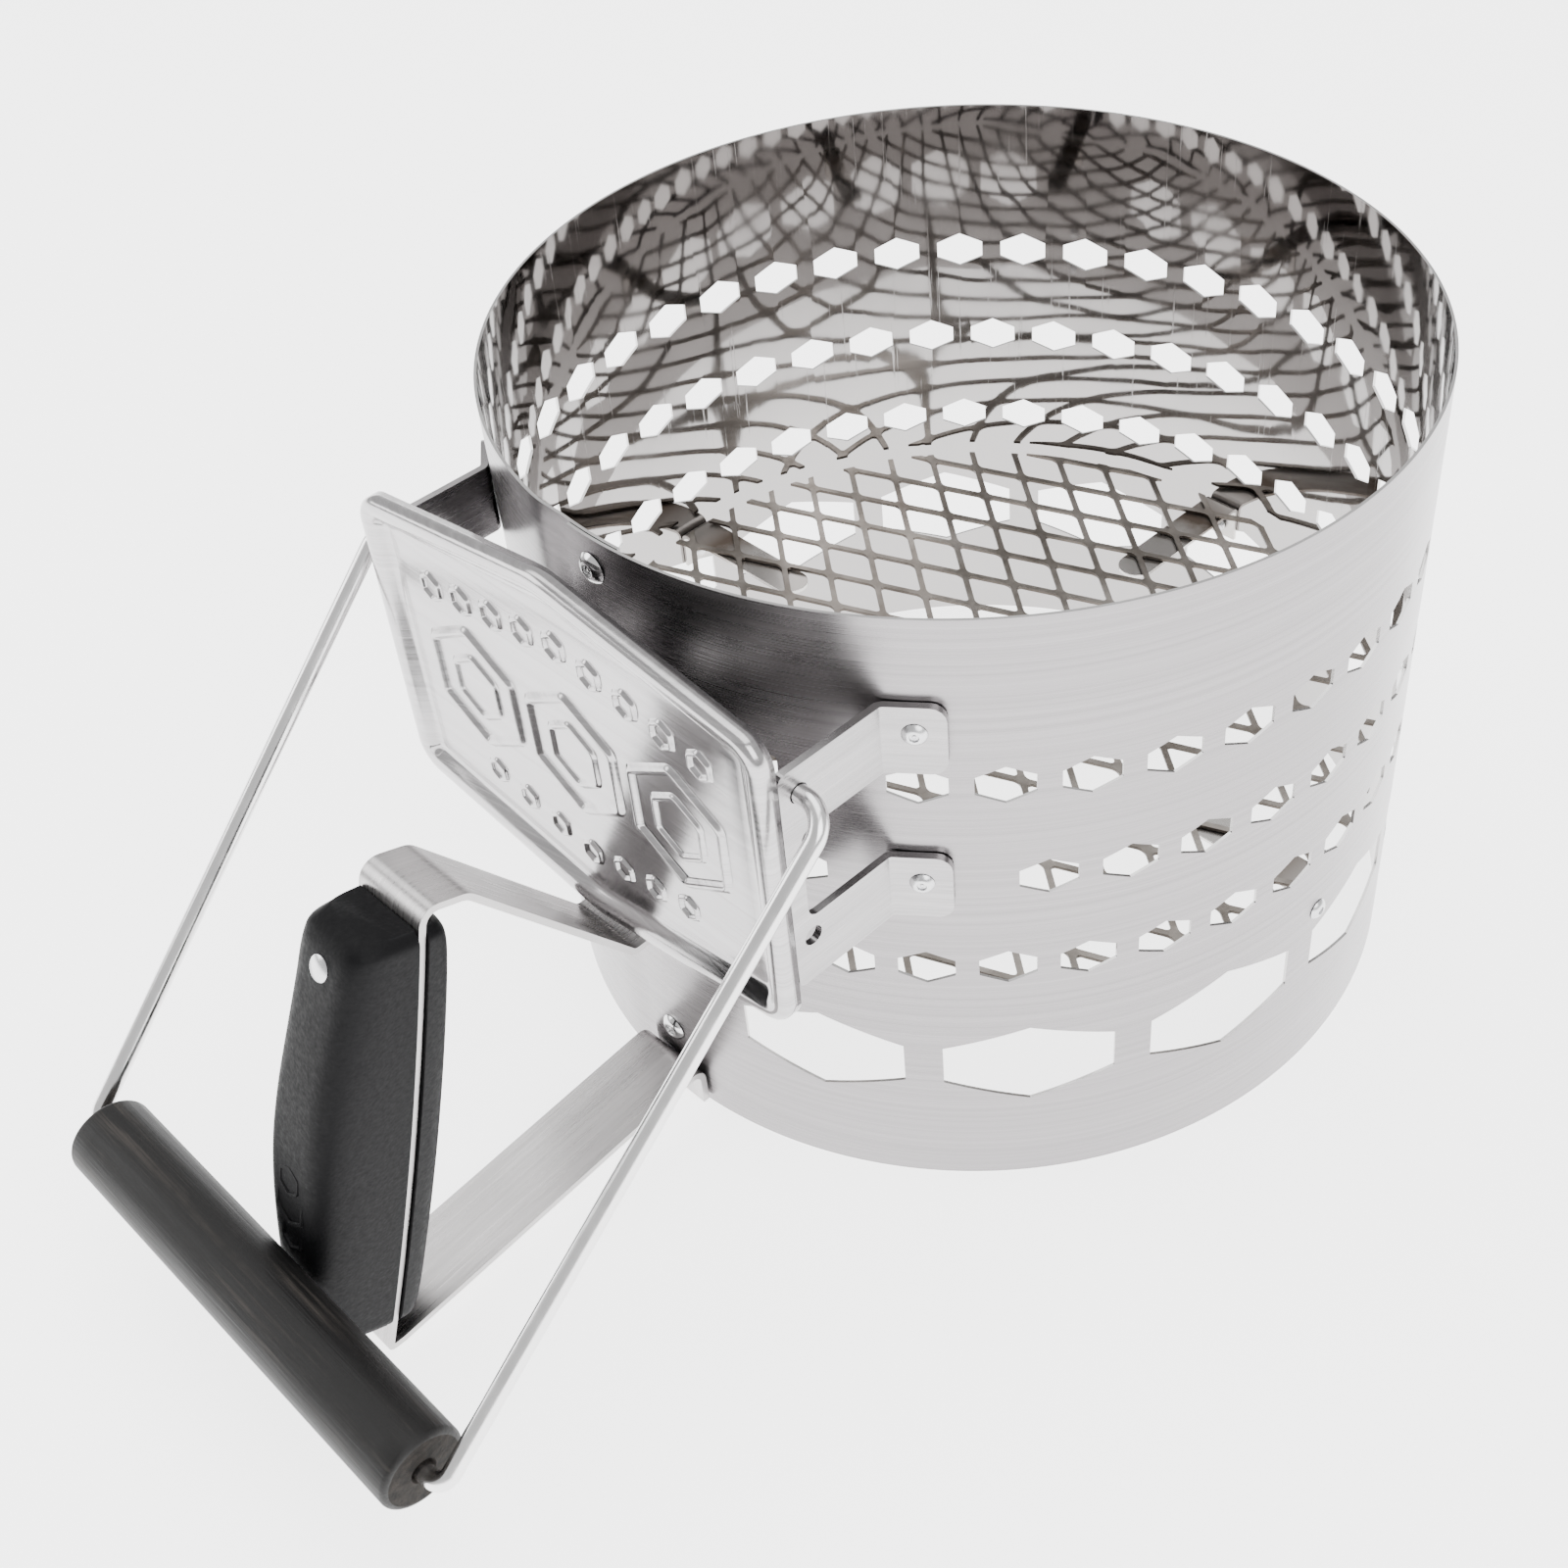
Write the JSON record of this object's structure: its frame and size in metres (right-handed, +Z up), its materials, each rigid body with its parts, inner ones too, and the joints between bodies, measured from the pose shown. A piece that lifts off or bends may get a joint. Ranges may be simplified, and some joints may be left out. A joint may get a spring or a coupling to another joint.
{
  "type": "chimney charcoal starter",
  "caption": "Open steel drum with hexagonal vents, a mesh grate, a strap handle behind a heat shield and a swinging wire bail with a round grip.",
  "frame": {"origin": "middle of the object's base, on the surface that the drum stands on", "axes": "+Z up along the drum's axis; -Y from the drum towards the handle; X across the handle"},
  "size_m": [0.257, 0.4, 0.1965],
  "materials": {
    "brushed_steel": "satin brushed stainless sheet",
    "mesh_steel": "raw expanded steel, slightly browned",
    "wire_steel": "polished drawn wire",
    "rivet_metal": "smooth, bright",
    "grip_plastic": "fine leathery grain",
    "stained_wood": "black stain, worn along the grain"
  },
  "bodies": {
    "drum_body": {"bracket_left": "brushed_steel", "bracket_right": "brushed_steel", "bracket_rivet_left_lower": "rivet_metal", "bracket_rivet_left_upper": "rivet_metal", "bracket_rivet_right_lower": "rivet_metal", "bracket_rivet_right_upper": "rivet_metal", "drum": "brushed_steel", "grate": "mesh_steel", "grate_tab_far": "brushed_steel", "grate_tab_handle": "brushed_steel", "grate_tab_left": "brushed_steel", "grate_tab_right": "brushed_steel", "grip_pin_lower": "rivet_metal", "grip_pin_upper": "rivet_metal", "grip_shell_inner": "grip_plastic", "grip_shell_outer": "grip_plastic", "handle_rivet_lower": "rivet_metal", "handle_rivet_upper": "rivet_metal", "handle_strap": "brushed_steel", "heat_shield": "brushed_steel", "seam_rivet_bottom": "rivet_metal", "seam_rivet_top": "rivet_metal", "tab_rivet_far": "rivet_metal", "tab_rivet_handle": "rivet_metal", "tab_rivet_left": "rivet_metal", "tab_rivet_right": "rivet_metal"},
    "bail": {"bail_wire": "wire_steel"},
    "bail_grip": {"wood_grip": "stained_wood"}
  },
  "joints": [
    {"name": "bail_swing", "type": "hinge", "parent": "drum_body", "child": "bail", "pos_m": [0, -0.0615, 0.1655], "axis": [-1, 0, 0], "range_deg": [0, 172]},
    {"name": "grip_spin", "type": "hinge", "parent": "bail", "child": "bail_grip", "pos_m": [0, -0.1889, 0.0436], "axis": [1, 0, 0], "continuous": true}
  ]
}
